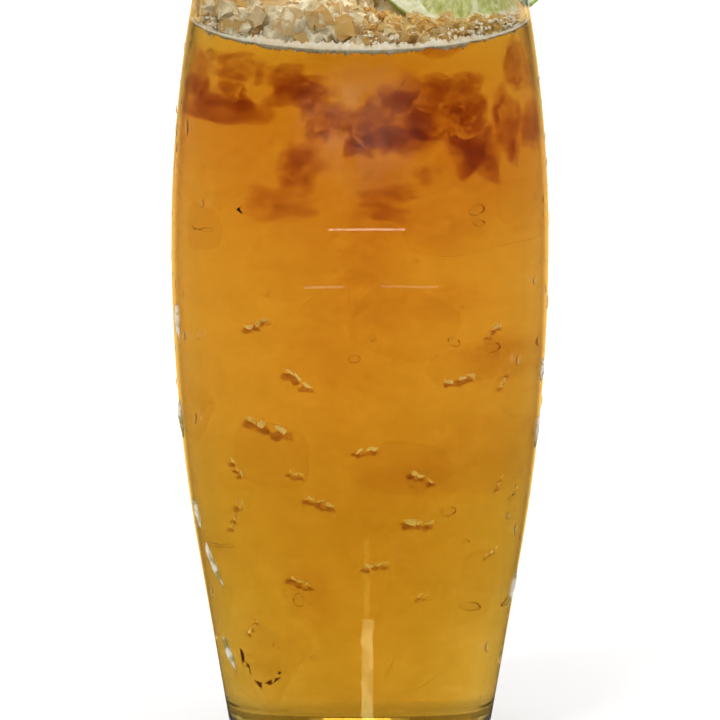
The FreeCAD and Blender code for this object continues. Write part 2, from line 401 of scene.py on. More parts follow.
def swirl(name, thin, strength):
    """Strong tea that has not mixed in yet."""
    material, tree, shader, place = new_material(name)
    plain(shader, transmission_weight=1.0, ior=1.0, roughness=0.0)
    cloud = noise(tree, place, 200.0)
    tint = blend(tree, ranged(tree, cloud, 0.3, 0.7), (1.0, 0.98, 0.96), (1.0, 1.0, 1.0))
    link(tree, tint, shader, "Base Color")
    absorbing(tree, thin, strength)
    return material


def soak(tree, place):
    """How far the ice has taken up tea: most in front, right of the middle."""
    parts = split(tree, place)
    right = ranged(tree, parts[0], -0.004, 0.012)
    front = ranged(tree, parts[1], 0.006, -0.012)
    patch = ranged(tree, noise(tree, place, 90.0), 0.35, 0.6, 0.4, 1.0)
    return times(tree, times(tree, right, patch), front)


def ice(name, index, roughness, tints, clear=1.0, frost=0.0, soaked=None):
    """Ice in tints that change from piece to piece, so clear, and less so where it is frosted."""
    material, tree, shader, place = new_material(name)
    plain(shader, ior=index, roughness=roughness)
    piece = add(tree, "ShaderNodeNewGeometry").outputs["Random Per Island"]
    cloud = noise(tree, place, 240.0, 4.0, 0.6)
    tint = sloped(tree, cloud, 0.5, sloped(tree, piece, 0.9, -0.2))
    colour = blend(tree, ranged(tree, tint, 0.1, 0.9), *tints)
    if soaked:
        colour = blend(tree, times(tree, soak(tree, place), 0.75), colour, soaked)
    link(tree, colour, shader, "Base Color")
    plain(shader, transmission_weight=clear)
    if frost:
        white = times(tree, ranged(tree, cloud, 0.4, 0.65), ranged(tree, piece, 0.2, 1.0))
        link(tree, sloped(tree, white, -frost, clear), shader, "Transmission Weight")
    bumped(tree, shader, noise(tree, place, 900.0, 3.0), 0.0002, 0.5)
    return material


def slush():
    """Packed ice that has soaked up the tea."""
    material, tree, shader, place = new_material("slush")
    plain(shader, roughness=0.35, ior=ICE_INDEX, transmission_weight=0.35)
    grain = noise(tree, place, 420.0, 5.0, 0.65)
    patch = noise(tree, place, 120.0, 3.0, 0.6)
    tan = blend(tree, ranged(tree, grain, 0.35, 0.65), (0.9, 0.62, 0.2), (1.0, 0.9, 0.6))
    brown = blend(tree, ranged(tree, patch, 0.5, 0.7), tan, (0.75, 0.42, 0.13))
    link(tree, blend(tree, soak(tree, place), brown, (0.75, 0.46, 0.06)), shader, "Base Color")
    bumped(tree, shader, grain, 0.0006, 0.8)
    return material


def foam():
    """Small cream bubbles."""
    material, tree, shader, place = new_material("foam")
    plain(shader, roughness=0.12, ior=1.3, transmission_weight=0.08)
    fleck = noise(tree, place, 600.0)
    cream = blend(tree, ranged(tree, fleck, 0.3, 0.7), (0.96, 0.78, 0.5), (1.0, 0.93, 0.76))
    link(tree, cream, shader, "Base Color")
    return material


def dew():
    """Clear water."""
    material, tree, shader, place = new_material("dew")
    plain(shader, transmission_weight=1.0, ior=1.1, base_color=(0.97, 0.98, 0.98))
    ripple = noise(tree, place, 300.0)
    link(tree, ranged(tree, ripple, 0.0, 1.0, 0.0, 0.05), shader, "Roughness")
    return material


def painted_light_water():
    """Water that has run down the glass: pale as a painted highlight, with dark golden patches of
    painted shade.
    """
    material, tree, shader, place = new_material("runs")
    plain(shader, ior=1.2, roughness=0.35, transmission_weight=0.4)
    patch = noise(tree, place, 420.0, 3.0)
    # Pale stands for painted highlight and the dark golden patches for painted shade.
    painted_light_hue = blend(tree, ranged(tree, patch, 0.42, 0.6), (0.93, 0.9, 0.78), (0.42, 0.34, 0.1))
    link(tree, painted_light_hue, shader, "Base Color")
    return material


def lime_skin_and_flesh():
    """Green peel, pale pith and skins, and juicy flesh in fine streaks from the middle."""
    material, tree, shader, place = new_material("lime")
    plain(shader, ior=1.4, coat_weight=0.25, coat_roughness=0.15)
    plain(shader, subsurface_weight=0.25, subsurface_scale=0.003)
    shader.inputs["Subsurface Radius"].default_value = (0.5, 1.0, 0.3)
    inputs = {"Vector": place, "Location": tuple(-LIME_MIDDLE)}
    centred = add(tree, "ShaderNodeMapping", inputs).outputs[0]
    parts = split(tree, centred)
    turn = maths(tree, "ARCTAN2", parts[2], parts[0])
    along = joined(tree, times(tree, turn, 14.0), times(tree, reach_of(tree, centred), 260.0))
    streak = noise(tree, along, 1.6, 4.0, 0.6, 0.4)
    cell = noise(tree, place, 500.0, 3.0, 0.6)
    flesh = blend(tree, ranged(tree, streak, 0.3, 0.7), (0.42, 0.5, 0.12), (0.76, 0.8, 0.42))
    flesh = blend(tree, ranged(tree, cell, 0.55, 0.75), flesh, (0.82, 0.86, 0.6))
    pith = blend(tree, ranged(tree, cell, 0.35, 0.65), (0.74, 0.8, 0.5), (0.88, 0.9, 0.7))
    pore = add(tree, "ShaderNodeTexVoronoi", {"Vector": place, "Scale": 900.0}).outputs[0]
    rind = blend(tree, ranged(tree, pore, 0.2, 0.6), (0.2, 0.36, 0.03), (0.36, 0.5, 0.06))
    amounts = [
        add(tree, "ShaderNodeAttribute", attribute_name=name).outputs["Fac"]
        for name in ("flesh", "peel")
    ]
    inner = blend(tree, amounts[0], pith, flesh)
    link(tree, blend(tree, amounts[1], inner, rind), shader, "Base Color")
    link(tree, ranged(tree, amounts[0], 0.0, 1.0, 0.45, 0.18), shader, "Roughness")
    height = maths(tree, "ADD", times(tree, streak, amounts[0]), pore)
    bumped(tree, shader, height, 0.0003, 0.6)
    return material


def finished(name, mesh, material, smooth=True):
    """An object that shows a mesh, at the origin."""
    piece = bpy.data.objects.new(name, mesh)
    bpy.context.scene.collection.objects.link(piece)
    mesh.materials.clear()
    mesh.materials.append(material)
    mesh.shade_smooth() if smooth else mesh.shade_flat()
    return piece


def skinned(shape, rings, closed=False, round_about=True):
    """Joins rings of corners with faces. A ring of one corner is a pole."""
    for one, other in zip(rings, rings[1:] + rings[:1] if closed else rings[1:]):
        steps = max(len(one), len(other))
        for step in range(steps if round_about else steps - 1):
            after = (step + 1) % steps
            corners = [one[step % len(one)], one[after % len(one)]]
            corners += [other[after % len(other)], other[step % len(other)]]
            shape.faces.new(list(dict.fromkeys(corners)))


def ring_of(shape, radius, height, steps):
    """A level ring of corners about the axis."""
    turns = [TURN * step / steps for step in range(steps)]
    return [shape.verts.new((radius * math.cos(t), radius * math.sin(t), height)) for t in turns]


def lathe(name, outline, steps=192):
    """A closed round mesh from (radius, height) points that start and end on the axis."""
    shape = bmesh.new()
    rings = [ring_of(shape, radius, height, steps if radius else 1) for radius, height in outline]
    skinned(shape, rings)
    return from_bmesh(name, shape)


def tea_outline(settings):
    """The drink's outline, a little into the glass, with its surface climbing at the edge."""
    reach, low = settings.reach, TEA_LOW.z - settings.reach
    bend = TEA_LOW.z + FLOOR_ROUND
    rounding = FLOOR_ROUND + reach
    foot = TEA_WALL(bend) + reach - rounding
    points = [(0, low)] + [(foot * share, low) for share in (0.3, 0.6, 0.85)]
    for step in range(13):
        turn = math.pi / 2 * step / 12
        points.append((foot + rounding * math.sin(turn), bend - rounding * math.cos(turn)))
    for height in np.linspace(bend, LEVEL, 130)[1:]:
        points.append((TEA_WALL(height) + reach, height))
    edge = TEA_WALL(LEVEL) + reach
    for height in np.linspace(LEVEL, LEVEL + settings.rise, 6)[1:]:
        points.append((edge - (height - LEVEL) * 0.2, height))
    backs = (0.0003, 0.0006, 0.001, 0.0015, 0.0022, 0.003, 0.0042, 0.0055, 0.0075, 0.01)
    for back in backs:
        sink = settings.rise * math.exp(-(back - backs[0]) / settings.climb)
        points.append((edge - 0.0004 - back, LEVEL + sink))
    for radius in np.linspace(edge - 0.012, 0.002, 14):
        points.append((radius, LEVEL))
    return [*points, (0, LEVEL)]


def new_tree(name, inputs):
    """A Geometry Nodes tree with named inputs, its input node and its output node."""
    tree = bpy.data.node_groups.new(name, "GeometryNodeTree")
    for label, kind, default in inputs:
        socket = tree.interface.new_socket(label, in_out="INPUT", socket_type=kind)
        if default is not None:
            socket.default_value = default
    tree.interface.new_socket("Geometry", in_out="OUTPUT", socket_type="NodeSocketGeometry")
    return tree, add(tree, "NodeGroupInput"), add(tree, "NodeGroupOutput")


def grown(name, tree, values):
    """The plain mesh that a Geometry Nodes tree makes with these inputs."""
    holder = bpy.data.objects.new(name, bpy.data.meshes.new(name))
    bpy.context.scene.collection.objects.link(holder)
    modifier = holder.modifiers.new(name, "NODES")
    modifier.node_group = tree
    for item in tree.interface.items_tree:
        if item.in_out == "INPUT" and item.name in values:
            modifier[item.identifier] = values[item.name]
    graph = bpy.context.evaluated_depsgraph_get()
    mesh = bpy.data.meshes.new_from_object(holder.evaluated_get(graph))
    bpy.data.objects.remove(holder)
    mesh.name = name
    return mesh


def inside(tree, height):
    """The inner radius of the glass at a height, as a curve through its outline."""
    curve = add(tree, "ShaderNodeFloatCurve")
    low, high, widest, last = 0.004, GLASS_HIGH.z - 0.002, GLASS_HIGH.x, 16
    knots = curve.mapping.curves[0].points
    for step in range(last + 1):
        radius = GLASS_WALL(low + step / last * (high - low)) - WALL
        knot = knots[0] if step == 0 else (knots[1] if step == last else knots.new(0.5, 0.5))
        knot.location = (step / last, radius / widest)
    curve.mapping.update()
    tree.links.new(ranged(tree, height, low, high, 0.0, 1.0, "LINEAR"), curve.inputs["Value"])
    return times(tree, curve.outputs[0], widest)


def drawn(tree, given, low, high, shift):
    """Random vectors, with a seed of their own."""
    inputs = {0: low, 1: high, "Seed": maths(tree, "ADD", given.outputs["Seed"], shift)}
    return add(tree, "FunctionNodeRandomValue", inputs, data_type="FLOAT_VECTOR").outputs[0]


def kept_inside(tree, margin):
    """Each point's place, drawn in to the inside of the glass less a margin."""
    parts = split(tree, add(tree, "GeometryNodeInputPosition").outputs[0])
    reach = reach_of(tree, joined(tree, parts[0], parts[1]))
    most = maths(tree, "SUBTRACT", inside(tree, parts[2]), margin)
    share = maths(tree, "DIVIDE", maths(tree, "MINIMUM", reach, most), reach)
    across = [times(tree, parts[axis], share) for axis in (0, 1)]
    return joined(tree, across[0], across[1], parts[2])


def around(tree, reach, turn, height):
    """The place so far from the axis, turned so far about it, at a height."""
    across = times(tree, reach, maths(tree, "COSINE", turn))
    return joined(tree, across, times(tree, reach, maths(tree, "SINE", turn)), height)


def at_height(tree, given, share):
    """The height at a share of the way from the tree's low to its high."""
    span = maths(tree, "SUBTRACT", given.outputs["High"], given.outputs["Low"])
    return sloped(tree, share, span, given.outputs["Low"])


def moved(tree, geometry, **inputs):
    """The geometry with its points moved to a Position or by an Offset."""
    inputs["Geometry"] = geometry
    return add(tree, "GeometryNodeSetPosition", inputs).outputs[0]


def jolt(tree, given, amount, shift):
    """A random step of up to an amount in each direction."""
    return scaled(tree, drawn(tree, given, (-1, -1, -1), (1, 1, 1), shift), amount)


def evenly(tree, given, inner):
    """Places spread evenly through a ring inside the glass, between two heights."""
    number = add(tree, "GeometryNodeInputIndex").outputs[0]
    steps = [maths(tree, "FRACT", sloped(tree, number, share, 0.5)) for share in EVEN_STEPS]
    height = at_height(tree, given, steps[2])
    share = maths(tree, "SQRT", sloped(tree, steps[0], 1 - inner**2, inner**2))
    reach = times(tree, share, inside(tree, height))
    return around(tree, reach, times(tree, steps[1], TURN), height)


def low_in_front(x, y):
    """How much of the heap's rise is left at a place: little between the lime and the front."""
    return 1 - DIP * smooth_step(*DIP_RIGHT, x) * smooth_step(*DIP_FRONT, y)


def clear_of_lime(tree, gap):
    """True away from the lime slice and a gap round it."""
    place = add(tree, "GeometryNodeInputPosition").outputs[0]
    parts = split(tree, between(tree, "SUBTRACT", place, tuple(LIME_MIDDLE))[0])
    reach = reach_of(tree, joined(tree, parts[0], parts[2]))
    outside = maths(tree, "GREATER_THAN", reach, LIME_RADIUS + gap)
    beside = maths(tree, "GREATER_THAN", maths(tree, "ABSOLUTE", parts[1]), LIME_HALF + gap)
    return maths(tree, "MAXIMUM", outside, beside)


def placed(tree, given, places, shape, turns, sizes, chosen=True):
    """Real copies of a shape at each place."""
    inputs = {"Count": given.outputs["Count"], "Position": places}
    points = add(tree, "GeometryNodePoints", inputs)
    inputs = {"Points": points.outputs[0], "Instance": shape, "Rotation": turns, "Scale": sizes}
    inputs["Selection"] = chosen
    copies = add(tree, "GeometryNodeInstanceOnPoints", inputs)
    return add(tree, "GeometryNodeRealizeInstances", {0: copies.outputs[0]}).outputs[0]


def dressed(tree, given, out, geometry):
    """The tree, ended with its material."""
    inputs = {"Geometry": geometry, "Material": given.outputs["Material"]}
    tree.links.new(add(tree, "GeometryNodeSetMaterial", inputs).outputs[0], out.inputs[0])
    return tree


SCATTER_INPUTS = [
    ("Count", "NodeSocketInt", 100),
    ("Size", "NodeSocketFloat", 0.008),
    ("Low", "NodeSocketFloat", 0.0),
    ("High", "NodeSocketFloat", 0.1),
    ("Seed", "NodeSocketInt", 1),
    ("Material", "NodeSocketMaterial", None),
]


def ice_tree(jag, margin, heaped, lime_gap):
    """Crushed ice: jagged lumps, spread evenly inside the glass between two heights."""
    tree, given, out = new_tree("crushed ice", SCATTER_INPUTS)
    inputs = {"Size": (1, 1, 1), "Vertices X": 3, "Vertices Y": 3, "Vertices Z": 3}
    lump = add(tree, "GeometryNodeMeshCube", inputs).outputs[0]
    shapes = drawn(tree, given, (0.5, 0.45, 0.4), (1.35, 1.1, 1.0), 0)
    sizes = scaled(tree, shapes, given.outputs["Size"])
    turns = drawn(tree, given, (0, 0, 0), (TURN, TURN, TURN), 1)
    clear = clear_of_lime(tree, lime_gap)
    places = evenly(tree, given, 0.0)
    if heaped:
        parts = split(tree, places)
        right = ranged(tree, parts[0], *DIP_RIGHT)
        front = ranged(tree, parts[1], *DIP_FRONT)
        left = sloped(tree, times(tree, right, front), -DIP, 1.0)
        rise = maths(tree, "SUBTRACT", parts[2], given.outputs["Low"])
        height = sloped(tree, rise, left, given.outputs["Low"])
        places = joined(tree, parts[0], parts[1], height)
        sizes = scaled(tree, sizes, sloped(tree, left, 0.5, 0.5))
    real = placed(tree, given, places, lump, turns, sizes, clear)
    real = moved(tree, real, Offset=jolt(tree, given, times(tree, given.outputs["Size"], jag), 2))
    if heaped:
        parts = split(tree, add(tree, "GeometryNodeInputPosition").outputs[0])
        floor = maths(tree, "SUBTRACT", given.outputs["Low"], 0.0003)
        place = joined(tree, parts[0], parts[1], maths(tree, "MAXIMUM", parts[2], floor))
        real = moved(tree, real, Position=place)
    real = moved(tree, real, Position=kept_inside(tree, margin))
    if not heaped:
        real = add(tree, "GeometryNodeSubdivisionSurface", {"Mesh": real, "Level": 1}).outputs[0]
    return dressed(tree, given, out, real)


def bubble_tree():
    """Bubbles in a thin band against the glass."""
    tree, given, out = new_tree("bubbles", SCATTER_INPUTS)
    inputs = {"Segments": 8, "Rings": 5, "Radius": 0.5}
    ball = add(tree, "GeometryNodeMeshUVSphere", inputs).outputs[0]
    shapes = drawn(tree, given, (0.4, 0.4, 0.35), (1.7, 1.7, 1.4), 0)
    sizes = scaled(tree, shapes, given.outputs["Size"])
    places = between(tree, "ADD", evenly(tree, given, 0.93), jolt(tree, given, 0.0009, 4))[0]
    clump = noise(tree, add(tree, "GeometryNodeInputPosition").outputs[0], 260.0, 2.0)
    clumped = maths(tree, "GREATER_THAN", clump, 0.5)
    clear = times(tree, clear_of_lime(tree, 0.0004), clumped)
    real = placed(tree, given, places, ball, (0, 0, 0), sizes, clear)
    return dressed(tree, given, out, moved(tree, real, Position=kept_inside(tree, 0.00005)))


def drop_tree():
    """Flat drops on the outside of the glass, longer than wide."""
    tree, given, out = new_tree("drops", SCATTER_INPUTS)
    inputs = {"Segments": 10, "Rings": 6, "Radius": 0.5}
    ball = add(tree, "GeometryNodeMeshUVSphere", inputs).outputs[0]
    steps = split(tree, drawn(tree, given, (0, 0, 0), (1, 1, 1), 3))
    turn = sloped(tree, steps[0], 4.4, -0.63)
    height = at_height(tree, given, steps[1])
    reach = maths(tree, "ADD", inside(tree, height), WALL - 0.00004)
    places = around(tree, reach, turn, height)
    small = maths(tree, "POWER", steps[2], 2.5)
    size = times(tree, given.outputs["Size"], maths(tree, "ADD", small, 0.3))
    shapes = drawn(tree, given, (0.28, 0.6, 0.8), (0.42, 1.0, 1.9), 1)
    lean = split(tree, drawn(tree, given, (-0.5, 0, 0), (0.5, 1, 1), 2))[0]
    turns = joined(tree, lean, 0.0, turn)
    real = placed(tree, given, places, ball, turns, scaled(tree, shapes, size))
    return dressed(tree, given, out, moved(tree, real, Offset=jolt(tree, given, 0.00004, 5)))


def blob(shape, middle, sizes, roughness, start, level):
    """Adds a lumpy closed ball to a bmesh."""
    made = bmesh.ops.create_icosphere(shape, subdivisions=level, radius=1.0)["verts"]
    for vertex in made:
        way = vertex.co.normalized()
        swell = 1 + roughness * noise_at(way * 1.3 + Vector((start, 0, 0)))
        swell += 0.5 * roughness * noise_at(way * 3.1 + Vector((0, start, 0)))
        vertex.co = Vector(middle) + Vector([w * swell * size for w, size in zip(way, sizes)])
        radius = math.hypot(vertex.co.x, vertex.co.y)
        most = float(GLASS_WALL(vertex.co.z)) - WALL - 0.0006
        if radius > most:
            vertex.co.x, vertex.co.y = vertex.co.x * most / radius, vertex.co.y * most / radius


def shard(shape, middle, size, lean, draw):
    """Adds a small flat jagged piece to a bmesh."""
    made = []
    for point in draw.normal(size=(9, 3)) * (0.6, 0.25, 0.3):
        x, y, z = np.clip(point, -1, 1) * size
        way = (x * math.cos(lean) - z * math.sin(lean), y, x * math.sin(lean) + z * math.cos(lean))
        made.append(shape.verts.new(middle + Vector(way)))
    hull = bmesh.ops.convex_hull(shape, input=made)
    loose = {*hull["geom_interior"], *hull["geom_unused"]}
    spare = [item for item in loose if isinstance(item, bmesh.types.BMVert)]
    bmesh.ops.delete(shape, geom=spare, context="VERTS")


def turned_solid(outline, steps=192):
    """A closed ring from a closed outline of (radius, height) points."""
    shape = bmesh.new()
    skinned(shape, [ring_of(shape, radius, height, steps) for radius, height in outline], True)
    return from_bmesh("ring", shape)


def from_bmesh(name, shape):
    """A mesh of a bmesh, with its faces outwards."""
    bmesh.ops.recalc_face_normals(shape, faces=shape.faces)
    mesh = bpy.data.meshes.new(name)
    shape.to_mesh(mesh)
    shape.free()
    return mesh


def cut_away(mesh, cutter):
    """The mesh less a closed cutter."""
    pair = [bpy.data.objects.new(part.name, part) for part in (mesh, cutter)]
    for each in pair:
        bpy.context.scene.collection.objects.link(each)
    modifier = pair[0].modifiers.new("cut", "BOOLEAN")
    modifier.object = pair[1]
    modifier.operation = "DIFFERENCE"
    modifier.solver = "EXACT"
    graph = bpy.context.evaluated_depsgraph_get()
    result = bpy.data.meshes.new_from_object(pair[0].evaluated_get(graph))
    for each in pair:
        bpy.data.objects.remove(each)
    result.name = mesh.name
    return result


def lime_bed(gap):
    """A short cylinder across the glass where the lime sits, a gap larger than it."""
    shape = bmesh.new()
    made = bmesh.ops.create_cone(
        shape,
        cap_ends=True,
        segments=96,
        radius1=LIME_RADIUS + gap,
        radius2=LIME_RADIUS + gap,
        depth=2 * (LIME_HALF + gap),
    )["verts"]
    for vertex in made:
        x, y, z = vertex.co
        vertex.co = LIME_MIDDLE + Vector((x, z, y))
    return from_bmesh("lime_bed", shape)


def froth_mesh(steps=1100, sides=10):
    """An uneven band of froth where the drink meets the glass, deepest in front."""
    shape = bmesh.new()
    edge = float(GLASS_WALL(LEVEL)) - WALL + 0.00046
    rings = []
    for step in range(steps):
        turn = TURN * step / steps
        x, y = math.cos(turn), math.sin(turn)
        facing = 0.35 + 0.65 * smooth_step(0.5, 0.9, -y)
        uneven = [
            0.5
            + 0.5 * noise_at(Vector((x, y, layer)) * 8)
            + 0.4 * noise_at(Vector((x, y, layer + 3)) * 33)
            + 0.3 * noise_at(Vector((x, y, layer + 5)) * 95)
            for layer in (0, 1, 2)
        ]
        above, below, wide = [max(0.1, share) * facing for share in uneven]
        ring = []
        for side in range(sides):
            bend = TURN * side / sides
            reach = edge - (0.0007 + 0.0014 * wide) * (0.5 - 0.5 * math.cos(bend))
            tall = 0.0002 + 0.0017 * above if math.sin(bend) > 0 else 0.0002 + 0.0016 * below
            ring.append(shape.verts.new((reach * x, reach * y, LEVEL + tall * math.sin(bend))))
        rings.append(ring)
    skinned(shape, rings, True)
    return from_bmesh("froth", shape)


def slush_mesh(settings, rings=44, steps=150):
    """Packed ice: a lumpy layer across the glass, on the tea."""
    shape = bmesh.new()
    low = LEVEL - 0.0004
    edge = float(GLASS_WALL(LEVEL)) - WALL - 0.0012
    tops, lows = [], []
    for ring in range(rings + 1):
        reach = edge * ring / rings
        heights = []
        for step in range(steps if ring else 1):
            turn = TURN * step / steps
            x, y = reach * math.cos(turn), reach * math.sin(turn)
            lump = noise_at(Vector((x, y, 0)) * 330) + 0.6 * noise_at(Vector((x, y, 1)) * 900)
            side = max(0.0, 1 - (ring / rings) ** 10) * low_in_front(x, y)
            top = LEVEL + (settings.core_rise + 0.0011 * lump) * side
            heights.append((x, y, max(top, LEVEL + 0.0001)))
        tops.append([shape.verts.new(place) for place in heights])
        lows.append([shape.verts.new((*place[:2], low)) for place in heights])
    for layer in (tops, lows, [tops[-1], lows[-1]]):
        skinned(shape, layer)
    return cut_away(from_bmesh("slush", shape), lime_bed(0.0003))


def smooth_step(low, high, value):
    """0 to 1 as a value goes from low to high, easing in and out."""
    share = min(1.0, max(0.0, (value - low) / (high - low)))
    return share * share * (3 - 2 * share)


def lime_mesh(settings, steps=360):
    """The slice: peel, pith, and segments that lie a little under their skins."""
    radius, half = LIME_RADIUS, LIME_HALF
    pith_edge = radius - settings.peel
    flesh_edge = pith_edge - settings.pith
    bend = 0.0008
    stations = [(r, -1) for r in np.linspace(0, radius - bend, 56)]
    stations += [(turn, 0) for turn in np.linspace(-math.pi / 2, math.pi / 2, 13)[1:-1]]
    stations += [(r, 1) for r in np.linspace(radius - bend, 0, 56)]
    shape = bmesh.new()
    flesh_layer = shape.verts.layers.float.new("flesh")
    peel_layer = shape.verts.layers.float.new("peel")
    rings = []
    for value, side in stations:
        ring = []
        centre = side != 0 and value < 1e-6
        for step in range(1 if centre else steps):
            turn = TURN * step / steps
            if side == 0:
                reach = radius - bend + bend * math.cos(value)
                depth = (half - bend) * smooth_step(-1.6, 1.6, value) * 2 - (half - bend)
                depth += bend * math.sin(value)
                skin, flesh = 1.0, 0.0
                pit = noise_at(Vector((turn * 9, depth * 900, 3)) * 2.2)
                reach -= 0.00008 * (1 + pit)
            else:
                reach = value
                share = (turn / TURN * settings.segments + 0.13 * side + 0.4) % 1
                skin_gap = min(share, 1 - share) * TURN * reach / settings.segments
                corner = flesh_edge - 0.0022 * abs(2 * share - 1) ** 5
                flesh = smooth_step(0.0003, 0.0007, skin_gap)
                flesh *= smooth_step(corner, corner - 0.0006, reach)
                flesh *= smooth_step(0.0012, 0.002, reach)
                bead = noise_at(Vector((math.cos(turn) * 26, math.sin(turn) * 26, reach * 420)))
                bead += 0.5 * noise_at(Vector((turn * 60, reach * 500, side)))
                drop = settings.relief * flesh * (1 + 0.55 * bead)
                drop += 0.00012 * smooth_step(pith_edge + 0.0001, pith_edge - 0.0003, reach)
                depth = side * (half - drop)
                skin = smooth_step(pith_edge - 0.0001, pith_edge + 0.0001, reach)
            place = Vector((reach * math.cos(turn), depth, reach * math.sin(turn)))
            vertex = shape.verts.new(LIME_MIDDLE + place)
            vertex[flesh_layer], vertex[peel_layer] = flesh, skin
            ring.append(vertex)
        rings.append(ring)
    skinned(shape, rings)
    mesh = from_bmesh("lime", shape)
    rim = GLASS_HIGH.z
    gap = 0.00015
    heights = np.linspace(LIME_LOW.z - 0.004, rim, 12)
    outside = [(float(GLASS_WALL(min(z, rim - 0.0012))) + gap, z) for z in heights]
    within = [(r - WALL - 2 * gap, z) for r, z in outside]
    arch = [(outside[-1][0] - WALL / 2 - gap, rim + gap * 2)]
    return cut_away(mesh, turned_solid(outside + arch + within[::-1]))


def mirrored_once(tree, surfaces):
    """1 for light that was mirrored once and has gone through fewer surfaces than these."""
    path = add(tree, "ShaderNodeLightPath").outputs
    once = maths(tree, "COMPARE", path["Glossy Depth"], 1.0, 0.5)
    return times(tree, once, maths(tree, "LESS_THAN", path["Transmission Depth"], surfaces))


def backward(tree, way):
    """How straight back a way points, seen from above: -1 is forward and 1 is back."""
    reach = reach_of(tree, joined(tree, way[0], way[1]))
    return maths(tree, "DIVIDE", way[1], maths(tree, "MAXIMUM", reach, 0.001))


def dimmed(tree, way):
    """How far what the wall of the glass mirrors is dimmed, by the way that it lies in."""
    behind = backward(tree, way)
    outer = times(tree, mirrored_once(tree, OUTER_SURFACES), ranged(tree, behind, 0.93, 0.8))
    wall = times(tree, mirrored_once(tree, WALL_SURFACES), ranged(tree, behind, 0.8, 0.45))
    return maths(tree, "MAXIMUM", outer, wall)


def rim_light(tree, way):
    """How far what the wall of the glass mirrors from behind and beside turns golden."""
    wall = mirrored_once(tree, WALL_SURFACES)
    return times(tree, wall, ranged(tree, backward(tree, way), 0.1, 0.6))


def shown(tree):
    """1 for what the camera sees, straight or through glass."""
    path = add(tree, "ShaderNodeLightPath").outputs
    return maths(tree, "MAXIMUM", path["Is Camera Ray"], path["Is Transmission Ray"])


def studio_world(settings):
    """A room, white behind the object, and dim low down where the glass mirrors it."""
    world = bpy.data.worlds.new("studio")
    world.use_nodes = True
    tree = world.node_tree
    background = tree.nodes["Background"]
    way = split(tree, add(tree, "ShaderNodeTexCoord").outputs["Generated"])
    dim = times(tree, ranged(tree, way[2], 0.45, 0.2), dimmed(tree, way))
    bright = add(tree, "ShaderNodeMix", {0: shown(tree), 2: 0.62, 3: 1.0}).outputs[0]
    strength = add(tree, "ShaderNodeMix", {0: dim, 2: bright, 3: settings.mirrored}).outputs[0]
    tree.links.new(strength, background.inputs["Strength"])
    painted_light_hue = blend(tree, rim_light(tree, way), (1.0, 1.0, 1.0), (1.0, 0.64, 0.16))
    tree.links.new(painted_light_hue, background.inputs["Color"])
    return world


def studio_floor(settings):
    """A pale floor that keeps shadows, and is dim where the glass mirrors it."""
    material, tree, shader, place = new_material("floor")
    plain(shader, roughness=0.7, specular_ior_level=0.1)
    grain = noise(tree, place, 30.0)
    pale_with_golden_reflection = blend(tree, ranged(tree, grain, 0.3, 0.7), (0.94, 0.94, 0.94), (0.96, 0.96, 0.96))
    way = split(tree, place)
    # Where the glass's wall mirrors the floor from behind, its colour turns golden: a painted
    # golden reflection for the rim light.
    pale_with_golden_reflection = blend(tree, rim_light(tree, way), pale_with_golden_reflection, (0.94, 0.6, 0.15))
    link(tree, blend(tree, dimmed(tree, way), pale_with_golden_reflection, (settings.mirrored,) * 3), shader, "Base Color")
    return material


def lamp(name, place, size, power):
    """A square soft lamp that faces the glass."""
    light = bpy.data.lights.new(name, "AREA")
    light.shape = "SQUARE"
    light.size = size
    light.energy = power
    holder = bpy.data.objects.new(name, light)
    bpy.context.scene.collection.objects.link(holder)
    holder.location = place
    aim = Vector((0, 0, 0.08)) - Vector(place)
    holder.rotation_euler = aim.to_track_quat("-Z", "Y").to_euler()
    holder.visible_camera = False


def mirror_way(across, height):
    """The spot on the glass seen in line with one on the axis, and the way that it mirrors."""
    slope = (EYE_HEIGHT - height) / EYE_AWAY
    spot = Vector((across, -GLASS_HIGH.x, height))
    for turn in range(3):
        radius = float(GLASS_WALL(max(0.002, spot.z)))
        spot.y = -math.sqrt(radius**2 - across**2)
        spot.z = height - slope * spot.y
    lean = float(GLASS_WALL.deriv()(spot.z))
    normal = Vector((across / radius, spot.y / radius, -lean)).normalized()
    sight = (spot - Vector((0, -EYE_AWAY, EYE_HEIGHT))).normalized()
    return spot, sight - 2 * sight.dot(normal) * normal


def glint_mesh(left, right, low, high, away, steps=24):
    """A bright ribbon that the glass mirrors as a patch between these bounds."""
    shape = bmesh.new()
    rows = []
    for height in np.linspace(low, high, steps):
        row = []
        for across in np.linspace(left, right, steps):
            ragged = 0.0005 * noise_at(Vector((height * 900, 0, 0))) if high - low > 0.002 else 0
            spot, way = mirror_way(across + ragged, height)
            row.append(shape.verts.new(spot + way * away))
        rows.append(row)
    skinned(shape, rows, round_about=False)
    return from_bmesh("glint", shape)


def glow(name, strength, colour):
    """A soft lamp's face, a little uneven."""
    material, tree, shader, place = new_material(name)
    uneven = ranged(tree, noise(tree, place, 160.0), 0.35, 0.6, 0.45 * strength, strength)
    plain(shader, base_color=(0, 0, 0), emission_color=colour)
    link(tree, uneven, shader, "Emission Strength")
    return material


class TEA_OT_glass(bpy.types.Operator):
    """Give the glass its clear finish"""

    bl_idname = "iced_tea.glass"
    bl_label = "Glass"

    def execute(self, context):
        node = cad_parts["glass"]
        node.data.materials.clear()
        node.data.materials.append(clear_glass(context.scene.tea_glass))
        return {"FINISHED"}


class TEA_OT_tea(bpy.types.Operator):
    """Pour the tea, out to just inside the wall of the glass"""

    bl_idname = "iced_tea.tea"
    bl_label = "Tea"

    def execute(self, context):
        settings = context.scene.tea_drink
        piece = finished("tea", lathe("tea", tea_outline(settings)), tea(settings))
        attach(piece, "root")
        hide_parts("iced_tea")
        return {"FINISHED"}


